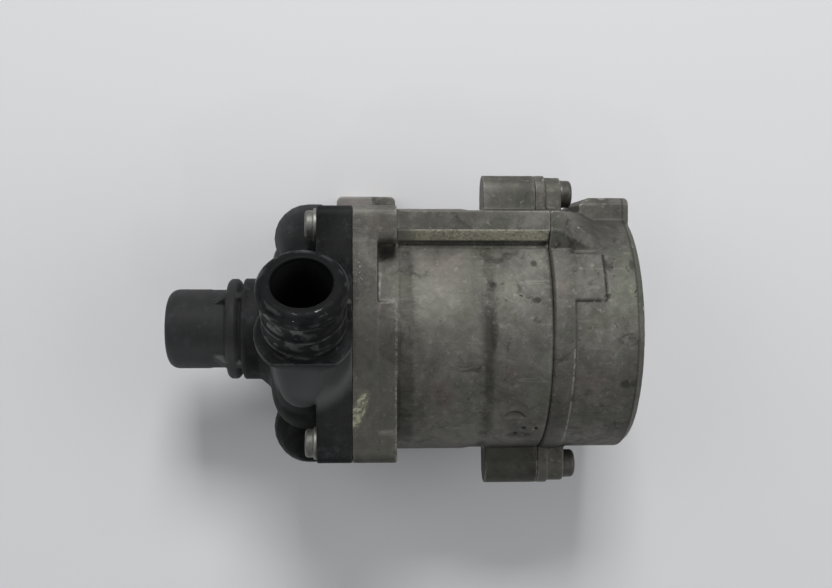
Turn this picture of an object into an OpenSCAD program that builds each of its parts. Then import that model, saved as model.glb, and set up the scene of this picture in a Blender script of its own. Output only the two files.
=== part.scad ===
// Electric coolant pump: plastic volute on a cast motor housing with a rear
// electronics cover. The X axis is the shaft line, X = 0 at the inlet mouth,
// +X runs to the electronics end and +Z is up. Units are millimetres.

/* [Inlet and outlet] */
// Outer radius of the inlet spigot
inlet_r = 16; // [14:0.5:17]
// Inner radius of the inlet
inlet_bore_r = 11; // [9:0.5:12]
// Radius of the bead at the outlet mouth
outlet_bead_r = 16.4; // [15.5:0.1:17]
// Radius of the outlet neck under the bead
outlet_neck_r = 14.8; // [14:0.1:15.2]
// Inner radius of the outlet
outlet_bore_r = 10.9; // [9:0.1:11.5]
// Lean of the outlet from the vertical, toward +Y
outlet_lean = 39; // [34:1:44]
// Distance from the shaft line to the outlet's axis
outlet_offset = 29.5; // [28:0.5:31]
// Distance from the foot of that offset to the outlet mouth
outlet_reach = 67.4; // [64:0.2:70]

/* [Volute] */
// X of the volute's front wall
volute_front = 42.3; // [42:0.1:43]
// X of the scroll's and the outlet's centre plane
scroll_x = 57; // [56.5:0.1:57.5]
// Largest outer radius of the scroll passage
scroll_r = 14; // [13:0.5:14.5]
// Outer radius of the casing at +Y
casing_r_start = 50.6; // [49:0.1:51]
// Outer radius of the casing at -Y
casing_r_end = 53.6; // [52:0.1:54]
// Wall thickness of the plastic
plastic_wall = 3; // [2.5:0.1:3.5]

/* [Flanges] */
// Half the width of both square flanges
flange_half = 47.5; // [46.5:0.5:48]
// X of the front of the plastic flange
flange_front = 61.1; // [60:0.1:62]
// X of the joint between volute and motor housing
joint_x = 74.3; // [74:0.1:75]
// Distance of the flange screws from the shaft line, along Y and along Z
flange_screw_pos = 40.5; // [40:0.1:41]

/* [Motor housing] */
// Outer radius of the motor housing
housing_r = 48.5; // [48:0.1:49]
// Radius of the stator bore
stator_r = 42; // [41.5:0.1:42.5]
// X of the seam between housing and rear cover
seam_x = 148.4; // [147:0.1:150]
// Z of the feet's underside
foot_z = -55; // [-57:0.5:-54]
// Radius of the threaded holes in the feet
foot_hole_r = 3.4; // [3:0.1:4]

/* [Rear cover] */
// X of the rear face
rear_x = 182.8; // [181:0.1:185]
// Outer radius of the rear cover
cover_r = 48.1; // [47.6:0.1:48.4]
// Distance of the cover screws from the shaft line
cover_screw_y = 55.3; // [54.8:0.1:56]

/* [Rotor] */
// Radius of the shaft
shaft_r = 4; // [3.5:0.1:4.5]
// Radius of the impeller
impeller_r = 24.5; // [22:0.5:26]
// Number of impeller blades
blade_count = 7; // [5:1:8]
// Number of magnets on the rotor
magnet_count = 8; // [6:2:10]
// Number of stator teeth
tooth_count = 9; // [6:3:12]

/* [Hidden] */
$fn = 64;

plastic = [0.12, 0.12, 0.13];
cast = [0.48, 0.47, 0.44];
steel = [0.72, 0.72, 0.70];
rubber = [0.06, 0.06, 0.06];
copper = [0.72, 0.38, 0.18];
carbon = [0.2, 0.2, 0.21];

fit_gap = 0.02;
running_gap = 0.04;
screw_r = 3;
screw_hole_r = 3.3;
tapped_r = 3.05;

// Inlet: ridge, groove and collar behind the spigot
tip_round = 4.5;
spigot_end = 17;
ridge_x0 = 24.2;
ridge_x1 = 29;
ridge_r = 20.25;
groove_x = 29.9;
groove_r = 17.5;
collar_x = 30.8;
collar_r = 20.4;
drum_r = 38.5;
rib_count = 4;
rib_t = 3;
rib_start_x = 17.5;

// Scroll: angles from +Z toward +Y
scroll_start = 20;
scroll_grown = 90;
scroll_end = 288;
scroll_cap = 16;
scroll_step = 5;
scroll_arc_steps = 12;
scroll_back_x = 62;
scroll_start_r = 6;
scroll_start_edge = 41;
elbow_shift = -3;
outlet_face = 14.3;
shoulder_t = 39;
funnel_face = 0.6;
funnel_y = 11.4;
funnel_t = 21.6;
funnel_r = 8.8;
outlet_bore_end = 28;
throat_r = 11.4;
screw_pocket_r = 6.5;

// Pump chamber
chamber_front = 49;
chamber_r = 34;
carrier_front = 71.3;
carrier_disc_r = 36;
eye_r = 12.9;

// Rotor and wet space
shroud_front = 50.5;
shroud_back = 52.5;
blade_back = 66;
disc_back = 68;
hub_r = 8;
can_r = 21.7;
can_wall = 1.1;
can_flange_r = 40;
can_flange_t = 2.9;
can_end = 134;
bearing_r = 8;
sleeve_x0 = 88.8;
sleeve_x1 = 117.2;
core_x0 = 90;
core_x1 = 116;
core_r = 15;
magnet_r = 18.5;
sleeve_r = 19.2;
magnet_gap = 8;

// Stator
stack_x0 = 88;
stack_x1 = 118;
stator_in_r = 22.2;
yoke_r = 36;
tooth_w = 8;
tip_r = 25;
slot_mouth = 2.4;
coil_r0 = 26;
coil_r1 = 35;
coil_w = 14.4;
bobbin_t = 1;
coil_overhang = 5;

// Housing
plate_back = 83.4;
ear_back = 90.6;
end_wall_x = 80.3;
neck_r = 46.7;
saddle_y = 12;
saddle_z = 46.9;
boss_x0 = 127;
boss_r = 7.6;
boss_turn = 4;
boss_root = 46.7;
ear_x = 152.5;
ear_back_x = 159.1;
cover_wall = 4;

// Wire duct along the housing, drawn in (Y, Z)
duct_outline = [[30, 36], [33.5, 35], [38.5, 40], [46, 40], [46, 13], [40, 13], [34, 30]];
duct_fade = [[30, 36], [32, 35.8], [34, 33.8], [42, 23], [46, 13], [40, 13], [34, 30]];

// Feet
foot_x0 = 66.6;
foot_x1 = 92.9;
foot_y0 = 36;
foot_y1 = 57;
foot_pad_t = 7;
rear_pad_t = 5;
foot_boss_r = 7.6;
foot_hole_x = 83;
foot_hole_y = 49.2;
rear_foot_x = 127;

// Electronics
heat_plate_x = 139;
heat_plate_t = 3;
heat_plate_r = 43.5;
board_x = 150;
board_t = 1.6;
board_r = 40;
board_screw_count = 3;
board_screw_r = 36;

// Connector
lug_x0 = 162.8;
lug_half = 21;
lug_y = 52.2;
socket_x0 = 166.8;
socket_x1 = 179.2;
socket_half = 15;
socket_y = 51.4;
socket_wall = 1.8;
pin_count = 4;
pin_pitch = 5.6;

// Points of an arc about (cx, cy) from angle a0 to a1 in n steps
function arc(cx, cy, r, a0, a1, n = 6) =
    [for (i = [0 : n]) let (a = a0 + (a1 - a0) * i / n) [cx + r * cos(a), cy + r * sin(a)]];

// A square of half width h with rounded corners
function rounded_square(h, r) = [
    for (k = [0 : 3]) let (s = [[1, 1], [-1, 1], [-1, -1], [1, -1]][k])
        each arc(s[0] * (h - r), s[1] * (h - r), r, 90 * k, 90 * k + 90, 4)
];

// A profile of [radius, x] points turned about the shaft line
module turned(profile) {
    rotate([0, 90, 0]) rotate_extrude() polygon(profile);
}

// An outline drawn in (Y, Z), extruded from x0 to x1
module plate(x0, x1) {
    translate([x0, 0, 0]) rotate([90, 0, 90]) linear_extrude(x1 - x0) children();
}

// A straight round bar along X
module rod(x0, x1, r, y = 0, z = 0) {
    translate([x0, y, z]) rotate([0, 90, 0]) cylinder(h = x1 - x0, r = r);
}

module tube(x0, x1, r_in, r_out) {
    turned([[r_in, x0], [r_out, x0], [r_out, x1], [r_in, x1]]);
}

// A round seal ring about the shaft line
module ring(x, ring_r, section_r) {
    translate([x, 0, 0]) rotate([0, 90, 0])
        rotate_extrude() translate([ring_r, 0]) circle(r = section_r, $fn = 24);
}

module at_flange_corners() {
    for (y = [-1, 1], z = [-1, 1]) translate([0, y * flange_screw_pos, z * flange_screw_pos]) children();
}

// Copies turned about the shaft line
module around(count, start = 0) {
    for (i = [0 : count - 1]) rotate([start + 360 * i / count, 0, 0]) children();
}

// The outlet's own frame: its axis is local Z
module outlet_frame() {
    rotate([-outlet_lean, 0, 0]) translate([scroll_x, -outlet_offset, 0]) children();
}

// Outer edge and section radius of the scroll at angle a
function scroll_grow(a) = min(1, (a - scroll_start) / (scroll_grown - scroll_start));
function scroll_edge(a) = a < scroll_grown
    ? scroll_start_edge + (casing_r_start - scroll_start_edge) * scroll_grow(a)
    : casing_r_start + (casing_r_end - casing_r_start) * (a - scroll_grown) / 180;
function scroll_close(a) = a < scroll_end - scroll_cap
    ? 1 : sqrt(max(0.1, 1 - pow((a - scroll_end + scroll_cap) / scroll_cap, 2)));
function scroll_size(a) =
    (scroll_start_r + (scroll_r - scroll_start_r) * scroll_grow(a)) * scroll_close(a);

// One section of the scroll: a round front on straight walls, inset by a wall
function scroll_section(a, wall, back) =
    let (r = scroll_size(a) - wall, mid = scroll_edge(a) - scroll_size(a))
    [for (p = concat([[mid + r, back]], arc(mid, 0, r, 0, 180, scroll_arc_steps), [[mid - r, back]]))
        let (x = p[1] == back ? back : volute_front + scroll_r - p[1])
        [x, p[0] * sin(a), p[0] * cos(a)]];

// The scroll as one swept solid, inset by a wall
module scroll(wall, back) {
    first = scroll_start + 2 * wall;
    last = scroll_end - 2 * wall;
    rings = ceil((last - first) / scroll_step);
    per = scroll_arc_steps + 3;
    points = [for (i = [0 : rings])
        each scroll_section(first + (last - first) * i / rings, wall, back)];
    sides = [for (i = [0 : rings - 1], j = [0 : per - 1])
        let (k = (j + 1) % per)
        [i * per + j, i * per + k, (i + 1) * per + k, (i + 1) * per + j]];
    start_cap = [[for (j = [per - 1 : -1 : 0]) j]];
    end_cap = [[for (j = [0 : per - 1]) rings * per + j]];
    polyhedron(points, concat(sides, start_cap, end_cap));
}

// Outside of the outlet pipe: elbow, shoulder cut flat at the front, ridges and the bead at the mouth
module outlet_body() {
    outlet_frame() {
        difference() {
            union() {
                translate([0, 0, elbow_shift]) sphere(r = scroll_r);
                rotate_extrude() polygon(concat(
                    [[0, elbow_shift], [12.9, elbow_shift], [13.2, 18], [14.2, 33]],
                    [[18, 36.4], [18.7, 37.4], [18.7, 38.6], [17.6, 39.8], [outlet_neck_r, 40.6]],
                    arc(outlet_neck_r - 0.3, 44.7, 1.1, -75, 75, 4),
                    arc(outlet_neck_r - 0.3, 52.1, 1.1, -75, 75, 4),
                    [[outlet_neck_r, 57]],
                    arc(outlet_bead_r - 3.6, outlet_reach - 4.6, 3.6, -40, 0, 3),
                    arc(outlet_bead_r - 3.6, outlet_reach - 3.6, 3.6, 0, 90, 6),
                    [[0, outlet_reach]]));
            }
            translate([-20, -outlet_face - 10, 34]) cube([40, 10, 6.2]);
        }
        hull() {
            translate([0, -funnel_face, shoulder_t - 4])
                cylinder(h = 1, r = outlet_face - funnel_face, $fn = 32);
            translate([-1, -funnel_y, funnel_t]) sphere(r = funnel_r, $fn = 32);
        }
    }
}

// Black moulded casing with both spigots, the scroll and the square flange
module volute_housing() {
    color(plastic) difference() {
        union() {
            turned(concat(
                [[inlet_bore_r - 0.5, 0]],
                arc(inlet_r - tip_round, tip_round, tip_round, -90, 0),
                [[inlet_r, spigot_end], [inlet_r - 0.2, spigot_end + 0.2]],
                [[inlet_r - 0.2, ridge_x0 - 0.2], [ridge_r - 1.2, ridge_x0]],
                [[ridge_r, ridge_x0 + 1.2], [ridge_r, ridge_x1 - 1], [ridge_r - 1, ridge_x1]],
                [[groove_r, groove_x], [collar_r, collar_x], [collar_r, volute_front - 5]],
                [[collar_r + 3, volute_front - 1.4], [collar_r + 6, volute_front]],
                arc(drum_r - 11, volute_front + 11, 11, -90, 0, 8),
                [[drum_r, joint_x - 2], [inlet_bore_r - 0.5, joint_x - 2]]));
            around(rib_count, 45) translate([0, -rib_t / 2, 0]) rotate([90, 0, 0])
                translate([0, 0, -rib_t]) linear_extrude(rib_t)
                    polygon([[rib_start_x, inlet_r - 1.5], [ridge_x0, ridge_r - 0.3],
                        [collar_x + 1, collar_r - 0.3], [collar_x + 1, inlet_r - 1.5]]);
            scroll(0, scroll_back_x);
            plate(flange_front, joint_x) polygon(rounded_square(flange_half, 3.5));
            intersection() {
                outlet_body();
                rod(0, joint_x - 0.2, 100);
            }
        }
        turned([[0, -1], [inlet_bore_r, -1], [inlet_bore_r, volute_front - 3], [eye_r, volute_front + 1],
            [eye_r, chamber_front], [28, chamber_front], [chamber_r, chamber_front + 6],
            [chamber_r, carrier_front], [carrier_disc_r + 0.1, carrier_front],
            [carrier_disc_r + 0.1, joint_x + 1], [0, joint_x + 1]]);
        scroll(plastic_wall, scroll_back_x - plastic_wall);
        outlet_frame() {
            translate([0, 0, outlet_bore_end]) cylinder(h = outlet_reach, r = outlet_bore_r);
            translate([0, 0, elbow_shift]) cylinder(h = outlet_bore_end - elbow_shift + 0.1, r = throat_r);
            translate([0, 0, elbow_shift]) sphere(r = throat_r - 0.2);
        }
        at_flange_corners() {
            rod(flange_front - 1, joint_x + 1, screw_hole_r);
            rod(volute_front, flange_front, screw_pocket_r);
        }
        tube(joint_x - 1.9, joint_x + 1, 41, 43.5);
    }
}

module volute_seal() {
    color(rubber) ring(joint_x - 0.94, 42.25, 0.92);
}

// Four flanged screws through the plastic flange
module volute_screws() {
    head_r = 5.3;
    head_front = 56.7;
    color(steel) at_flange_corners() turned(concat(
        [[0, head_front], [head_r - 1.2, head_front]],
        arc(head_r - 1.2, head_front + 1.2, 1.2, -90, 0, 3),
        [[head_r, flange_front - 1.4], [head_r + 0.9, flange_front - 1.1], [head_r + 0.9, flange_front],
        [screw_r, flange_front], [screw_r, 87.4], [screw_r - 0.6, 88], [0, 88]]));
}

// Impeller: hub, back disc and curved blades
module impeller() {
    wrap = 62;
    blade_t = 1.5;
    in_r = 9;
    steps = 6;
    function vane(r, side) = let (f = (r - in_r) / (impeller_r - in_r), a = -wrap * f + side * blade_t / r * 28.6)
        [r * sin(a), r * cos(a)];
    radii = [for (i = [0 : steps]) in_r - 2 + (impeller_r - in_r + 1.9) * i / steps];
    color(plastic) difference() {
        union() {
            turned([[shaft_r + fit_gap, 50], [hub_r - 2, 50], [hub_r, 56], [hub_r + 1, blade_back],
                [impeller_r, blade_back], [impeller_r, disc_back], [shaft_r + fit_gap, disc_back]]);
            around(blade_count) plate(shroud_back + 0.02, blade_back + 0.5)
                polygon(concat([for (r = radii) vane(r, 1)],
                    [for (i = [steps : -1 : 0]) vane(radii[i], -1)]));
        }
        rod(49, 69, shaft_r + fit_gap);
    }
}

// Front shroud of the impeller with the eye's neck
module impeller_cover() {
    color(plastic) turned([[11.4, 45], [12.4, 45], [12.4, shroud_front], [impeller_r, shroud_front],
        [impeller_r, shroud_back], [11.4, shroud_back]]);
}

module impeller_nut() {
    color(steel) difference() {
        rod(44.5, 49.6, 5.8, $fn = 6);
        rod(40, 52, 3 + fit_gap);
    }
}

module shaft() {
    color(steel) turned([[0, 42.6], [2.4, 42.6], [3, 43.2], [3, 49.7], [shaft_r, 49.7],
        [shaft_r, 128.9], [shaft_r - 0.6, 129.5], [0, 129.5]]);
}

// Back wall of the pump chamber with the front bearing's seat
module bearing_carrier() {
    color(plastic) difference() {
        turned([[bearing_r + fit_gap, carrier_front + 2], [carrier_disc_r, carrier_front + fit_gap],
            [carrier_disc_r, joint_x - 0.1], [20.5, joint_x - 0.1], [20.5, 80], [11, 80],
            [11, 87.5], [bearing_r + fit_gap, 87.5]]);
        around(4) rod(70, 84, 1.8, 0, 15.5);
    }
}

module front_bearing() {
    color(carbon) tube(carrier_front + 3, 86, shaft_r + running_gap, bearing_r);
}

module front_thrust_washer() {
    color(steel) tube(86.1, 87.4, shaft_r + running_gap + 0.2, bearing_r - 0.4);
}

module rear_bearing() {
    color(carbon) tube(119, 129, shaft_r + running_gap, bearing_r);
}

module rear_thrust_washer() {
    color(steel) tube(117.6, 118.8, shaft_r + running_gap + 0.2, bearing_r - 0.4);
}

// Thin plastic can that keeps the coolant off the stator
module containment_can() {
    seat = bearing_r + fit_gap;
    color(plastic) turned([[can_r - can_wall, joint_x], [can_flange_r, joint_x],
        [can_flange_r, joint_x + can_flange_t], [can_r, joint_x + can_flange_t],
        [can_r, can_end], [0, can_end], [0, can_end - 3], [seat, can_end - 3],
        [seat, 119.5], [11, 119.5], [11, can_end - 4], [can_r - can_wall, can_end - 4]]);
}

module can_seal() {
    color(rubber) ring(joint_x + can_flange_t + 0.94, 33, 0.92);
}

module rotor_core() {
    color(steel) tube(core_x0, core_x1, shaft_r + fit_gap, core_r);
}

// Curved magnets, each a separate piece
module rotor_magnets() {
    span = 360 / magnet_count - magnet_gap;
    color([0.35, 0.35, 0.37]) around(magnet_count) plate(core_x0, core_x1)
        polygon(concat(arc(0, 0, magnet_r - fit_gap, -span / 2, span / 2, 8),
            arc(0, 0, core_r + 0.15, span / 2, -span / 2, 8)));
}

module rotor_sleeve() {
    color(steel) tube(sleeve_x0, sleeve_x1, magnet_r, sleeve_r);
}

module rotor_end_plates() {
    color(steel) {
        tube(sleeve_x0, core_x0 - fit_gap, shaft_r + fit_gap, magnet_r - fit_gap);
        tube(core_x1 + fit_gap, sleeve_x1, shaft_r + fit_gap, magnet_r - fit_gap);
    }
}

// Laminated stator stack with parallel teeth
module stator_core() {
    pitch = 360 / tooth_count;
    function edge(r, w) = [r * cos(asin(w / 2 / r)), w / 2];
    function turn(p, a) = [p[0] * cos(a) - p[1] * sin(a), p[0] * sin(a) + p[1] * cos(a)];
    function mirrored(p) = [p[0], -p[1]];
    side = asin(tooth_w / 2 / yoke_r);
    slot = concat(
        arc(0, 0, yoke_r, pitch - side, side),
        [turn(edge(tip_r, tooth_w), 0)],
        [turn(mirrored(edge(tip_r - 0.8, slot_mouth)), pitch / 2)],
        [turn(mirrored(edge(stator_in_r - 1, slot_mouth)), pitch / 2)],
        [turn(edge(stator_in_r - 1, slot_mouth), pitch / 2)],
        [turn(edge(tip_r - 0.8, slot_mouth), pitch / 2)],
        [turn(mirrored(edge(tip_r, tooth_w)), pitch)]);
    color([0.4, 0.4, 0.42]) plate(stack_x0, stack_x1) difference() {
        circle(r = stator_r - 0.05);
        circle(r = stator_in_r);
        for (i = [0 : tooth_count - 1]) rotate(i * pitch) polygon(slot);
    }
}

// A rectangular frame round one tooth
module tooth_frame(r0, r1, w_in, w_out, reach_in, reach_out) {
    mid = (stack_x0 + stack_x1) / 2;
    half = (stack_x1 - stack_x0) / 2;
    translate([mid, 0, 0]) difference() {
        translate([-half - reach_out, r0, -w_out / 2]) cube([2 * (half + reach_out), r1 - r0, w_out]);
        translate([-half - reach_in, r0 - 1, -w_in / 2]) cube([2 * (half + reach_in), r1 - r0 + 2, w_in]);
    }
}

module stator_bobbins() {
    color([0.75, 0.72, 0.62]) around(tooth_count)
        tooth_frame(coil_r0 - 0.4, coil_r1 + 0.2, tooth_w + 0.1, tooth_w + 0.1 + 2 * bobbin_t, 0.1, bobbin_t);
}

module stator_windings() {
    inner_w = tooth_w + 0.2 + 2 * bobbin_t;
    color(copper) around(tooth_count)
        tooth_frame(coil_r0, coil_r1, inner_w, coil_w, bobbin_t + 0.1, coil_overhang);
}

// Three copper bars from the windings to the board
module phase_leads() {
    color(copper) around(3, 20) rod(stack_x1 + coil_overhang, board_x + board_t + 1.5, 1.1, 0, 30);
}

// Outline of one side boss: a rounded lug reaching out along Y from the wall
module boss_outline(r = boss_r) {
    polygon(concat([[boss_root, -r]], arc(cover_screw_y, 0, r, -90, 90, 12), [[boss_root, r]]));
}

module both_sides() {
    for (side = [0, 180]) rotate([side - boss_turn, 0, 0]) children();
}

// The front feet are mirror images across the shaft line
module front_feet() {
    children();
    mirror([0, 1, 0]) children();
}

// A flat foot with rounded corners
module foot_pad(x0, x1, y0, y1, t) {
    r = 2.5;
    translate([0, 0, foot_z]) linear_extrude(t) polygon(concat(
        arc(x1 - r, y1 - r, r, 0, 90), arc(x0 + r, y1 - r, r, 90, 180),
        arc(x0 + r, y0 + r, r, 180, 270), arc(x1 - r, y0 + r, r, 270, 360)));
}

// Cast housing: square front flange with a saddle behind it, round body, wire duct, side bosses and feet
module motor_housing() {
    color(cast) difference() {
        union() {
            plate(joint_x, plate_back) polygon(rounded_square(flange_half, 3.5));
            at_flange_corners() plate(plate_back - 0.5, ear_back)
                polygon(rounded_square(flange_half - flange_screw_pos, 3.5));
            plate(plate_back - 0.5, ear_back) polygon([[-flange_half, 30], [-flange_half, saddle_z - 3],
                [3 - flange_half, saddle_z], [saddle_y, saddle_z], [saddle_y + 1.5, 30]]);
            turned([[stator_r - 2, joint_x + 1], [neck_r, joint_x + 1], [neck_r, ear_back],
                [housing_r + 0.2, ear_back + 1.2], [housing_r + 0.2, 118],
                [housing_r - 0.3, 121], [housing_r - 0.3, 126], [housing_r, 128],
                [housing_r, seam_x - 1], [housing_r - 1, seam_x], [stator_r - 2, seam_x]]);
            plate(plate_back - 0.5, seam_x) polygon(duct_outline);
            both_sides() plate(boss_x0, seam_x) boss_outline();
            front_feet() {
                foot_pad(foot_x0, foot_x1, foot_y0, foot_y1, foot_pad_t);
                translate([joint_x + 0.3, foot_y0, foot_z + 1])
                    cube([plate_back - joint_x - 0.3, flange_half - foot_y0, 12]);
            }
            foot_pad(rear_foot_x - 12, rear_foot_x + 12, -10, 10, rear_pad_t);
            translate([rear_foot_x, 0, foot_z]) cylinder(h = 12, r = foot_boss_r);
        }
        rod(joint_x - 1, joint_x + can_flange_t + 0.1, can_flange_r + 0.1);
        tube(joint_x, joint_x + can_flange_t + 1.9, 31.9, 34.1);
        rod(joint_x, end_wall_x + 1, can_r + 0.2);
        rod(end_wall_x, seam_x + 1, stator_r);
        rod(heat_plate_x, seam_x + 1, heat_plate_r + fit_gap);
        at_flange_corners() rod(joint_x - 1, 89, tapped_r);
        both_sides() rod(boss_x0 + 3, seam_x + 1, tapped_r, cover_screw_y);
        front_feet() translate([foot_hole_x, foot_hole_y, foot_z - 1]) cylinder(h = 14, r = foot_hole_r);
        translate([rear_foot_x, 0, foot_z - 1]) cylinder(h = 12, r = foot_hole_r);
    }
}

// Partition between motor and electronics that carries the heat away
module heat_plate() {
    color([0.6, 0.6, 0.6]) difference() {
        union() {
            tube(heat_plate_x, heat_plate_x + heat_plate_t, 0, heat_plate_r);
            around(board_screw_count) rod(heat_plate_x + 1, board_x, 4, 0, board_screw_r);
            plate(heat_plate_x + 1, board_x - 4.2) square([24, 30], center = true);
        }
        around(3, 20) rod(heat_plate_x - 1, board_x + 1, 2.6, 0, 30);
        around(board_screw_count) rod(heat_plate_x + 4, board_x + 1, 1.55, 0, board_screw_r);
    }
}

module circuit_board() {
    color([0.1, 0.35, 0.16]) difference() {
        tube(board_x, board_x + board_t, 0, board_r);
        around(board_screw_count) rod(board_x - 1, board_x + 3, 1.7, 0, board_screw_r);
        around(3, 20) rod(board_x - 1, board_x + 3, 1.2, 0, 30);
        for (i = [0 : pin_count - 1])
            translate([board_x - 1, 33.6, (i - (pin_count - 1) / 2) * pin_pitch - 0.9]) cube([4, 1.6, 1.8]);
    }
}

module board_screws() {
    color(steel) around(board_screw_count) translate([0, 0, board_screw_r])
        turned([[0, 144], [1.5, 144], [1.5, board_x + board_t], [2.8, board_x + board_t],
            [2.8, board_x + board_t + 1.6], [0, board_x + board_t + 1.6]]);
}

// Six power switches between the board and the heat plate
module power_transistors() {
    color([0.13, 0.13, 0.13]) for (i = [-1, 0, 1], j = [-1, 1])
        translate([board_x - 4, j * 6 - 4.5, i * 9.5 - 4]) cube([3.9, 9, 8]);
}

module capacitors() {
    color([0.2, 0.22, 0.3]) for (z = [-12, 4, 20])
        translate([board_x + board_t, -22, z]) turned([[0, 0], [5.4, 0], [5.8, 0.8], [5.8, 1.8], [5.4, 2.2],
            [5.8, 2.8], [5.8, 21.2], [5, 22], [0, 22]]);
}

module filter_choke() {
    color([0.3, 0.3, 0.28]) translate([board_x + board_t + 3.4, 9, -17]) rotate([0, 90, 0])
        rotate_extrude() translate([6.5, 0]) circle(r = 3.4, $fn = 24);
}

module motor_controller_chip() {
    color([0.1, 0.1, 0.1]) translate([board_x + board_t, 4, 8]) cube([1.4, 12, 12]);
}

module cover_seal() {
    color(rubber) ring(seam_x + 0.8, 45.4, 0.78);
}

// Box of the connector's pocket, grown by a margin
module socket_block(y0, y1, margin = 0) {
    translate([socket_x0 - margin, y0, -socket_half - margin])
        cube([socket_x1 - socket_x0 + 2 * margin, y1 - y0, 2 * (socket_half + margin)]);
}

// Cast cap over the electronics, with screw ears and the connector's shroud
module rear_cover() {
    rim = 2.4;
    chamfer = 2.4;
    collar_back = 156.8;
    pad_back = 168.4;
    pad = [for (a = [15, 38]) [cover_r * sin(a), cover_r * cos(a)]];
    color(cast) difference() {
        union() {
            turned([[0, seam_x], [cover_r - 0.5, seam_x], [cover_r + 0.6, seam_x + 1],
                [cover_r + 0.6, collar_back - 0.3], [cover_r, collar_back], [cover_r, rear_x - rim],
                [cover_r - 0.5, rear_x - rim + 0.3], [cover_r - rim, rear_x], [0, rear_x]]);
            hull() {
                plate(seam_x, seam_x + 3) polygon(duct_outline);
                plate(pad_back - 2, pad_back) polygon(duct_fade);
            }
            intersection() {
                rod(collar_back - 2, pad_back, cover_r + 0.6);
                plate(collar_back - 2, pad_back)
                    polygon([[10, 30], 1.1 * pad[0], 1.2 * (pad[0] + pad[1]) / 2, 1.1 * pad[1], [24, 30]]);
            }
            both_sides() {
                plate(seam_x, ear_x) boss_outline();
                plate(ear_x - 0.5, ear_back_x) boss_outline(boss_r - 0.8);
            }
            intersection() {
                translate([0, 0, -lug_half]) linear_extrude(2 * lug_half) polygon([[lug_x0, 36], [lug_x0, 49.2],
                    [lug_x0 + 4, lug_y], [rear_x - 1.4, lug_y], [rear_x - 0.4, lug_y - 1], [rear_x - 0.4, 36]]);
                plate(lug_x0 - 1, rear_x) polygon([[30, -lug_half], [lug_y - chamfer, -lug_half],
                    [lug_y, chamfer - lug_half], [lug_y, lug_half - chamfer], [lug_y - chamfer, lug_half],
                    [30, lug_half]]);
            }
        }
        rod(seam_x - 1, rear_x - cover_wall, cover_r - cover_wall);
        tube(seam_x - 1, seam_x + 1.6, 44.6, 46.2);
        both_sides() rod(seam_x - 1, ear_back_x + 1, screw_hole_r, cover_screw_y);
        socket_block(30, lug_y + 1);
    }
}

module cover_screws() {
    head_r = 5.7;
    color([0.5, 0.5, 0.48]) both_sides() translate([0, cover_screw_y, 0]) turned(concat(
        [[0, 131], [screw_r - 0.6, 131], [screw_r, 131.6], [screw_r, ear_back_x], [head_r, ear_back_x]],
        [[head_r, ear_back_x + 3.4]], arc(head_r - 1.6, ear_back_x + 3.4, 1.6, 0, 90, 4), [[0, ear_back_x + 5]]));
}

// Plastic insert that holds the contacts inside the shroud
module connector_socket() {
    color(plastic) difference() {
        socket_block(36, socket_y, -0.05);
        socket_block(42, socket_y + 1, -socket_wall);
        for (i = [0 : pin_count - 1])
            translate([0, 0, (i - (pin_count - 1) / 2) * pin_pitch])
                translate([172.5, 30, -0.85]) cube([0.9, 20, 1.7]);
    }
}

// Flat contacts, bent down to the circuit board
module connector_pins() {
    color([0.8, 0.7, 0.4]) for (i = [0 : pin_count - 1])
        translate([0, 0, (i - (pin_count - 1) / 2) * pin_pitch - 0.8]) {
            translate([172.55, 33.7, 0]) cube([0.8, 14.3, 1.6]);
            translate([board_x - 0.6, 33.7, 0]) cube([173.35 - board_x + 0.6, 1.4, 1.6]);
        }
}

volute_housing();
volute_seal();
volute_screws();
impeller();
impeller_cover();
impeller_nut();
shaft();
bearing_carrier();
front_bearing();
front_thrust_washer();
rear_bearing();
rear_thrust_washer();
containment_can();
can_seal();
rotor_core();
rotor_magnets();
rotor_sleeve();
rotor_end_plates();
stator_core();
stator_bobbins();
stator_windings();
phase_leads();
motor_housing();
heat_plate();
circuit_board();
board_screws();
power_transistors();
capacitors();
filter_choke();
motor_controller_chip();
cover_seal();
rear_cover();
cover_screws();
connector_socket();
connector_pins();
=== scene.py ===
# Electric coolant pump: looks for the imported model
import math
import bpy
from mathutils import Vector, Matrix


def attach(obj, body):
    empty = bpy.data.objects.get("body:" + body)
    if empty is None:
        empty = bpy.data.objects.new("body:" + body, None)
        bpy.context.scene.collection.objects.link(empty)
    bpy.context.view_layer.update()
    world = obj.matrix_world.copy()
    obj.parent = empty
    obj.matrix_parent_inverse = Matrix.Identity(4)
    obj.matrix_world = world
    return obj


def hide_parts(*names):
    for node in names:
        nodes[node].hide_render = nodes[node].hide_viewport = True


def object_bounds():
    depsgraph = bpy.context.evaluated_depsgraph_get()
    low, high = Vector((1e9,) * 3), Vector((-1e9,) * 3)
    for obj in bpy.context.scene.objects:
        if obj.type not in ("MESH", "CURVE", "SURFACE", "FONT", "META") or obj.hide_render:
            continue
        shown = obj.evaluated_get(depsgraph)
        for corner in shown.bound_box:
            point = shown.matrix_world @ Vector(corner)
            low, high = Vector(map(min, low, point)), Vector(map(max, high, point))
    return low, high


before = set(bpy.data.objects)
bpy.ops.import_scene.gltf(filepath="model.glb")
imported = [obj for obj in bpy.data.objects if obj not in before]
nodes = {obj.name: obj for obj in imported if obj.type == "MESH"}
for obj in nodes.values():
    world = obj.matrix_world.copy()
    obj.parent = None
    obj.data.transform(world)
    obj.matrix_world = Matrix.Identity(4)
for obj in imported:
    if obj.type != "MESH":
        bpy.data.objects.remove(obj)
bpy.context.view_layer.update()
mm = 0.001
mergeGap = 0.00001
print("frame loaded:", len(nodes), "nodes")


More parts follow.
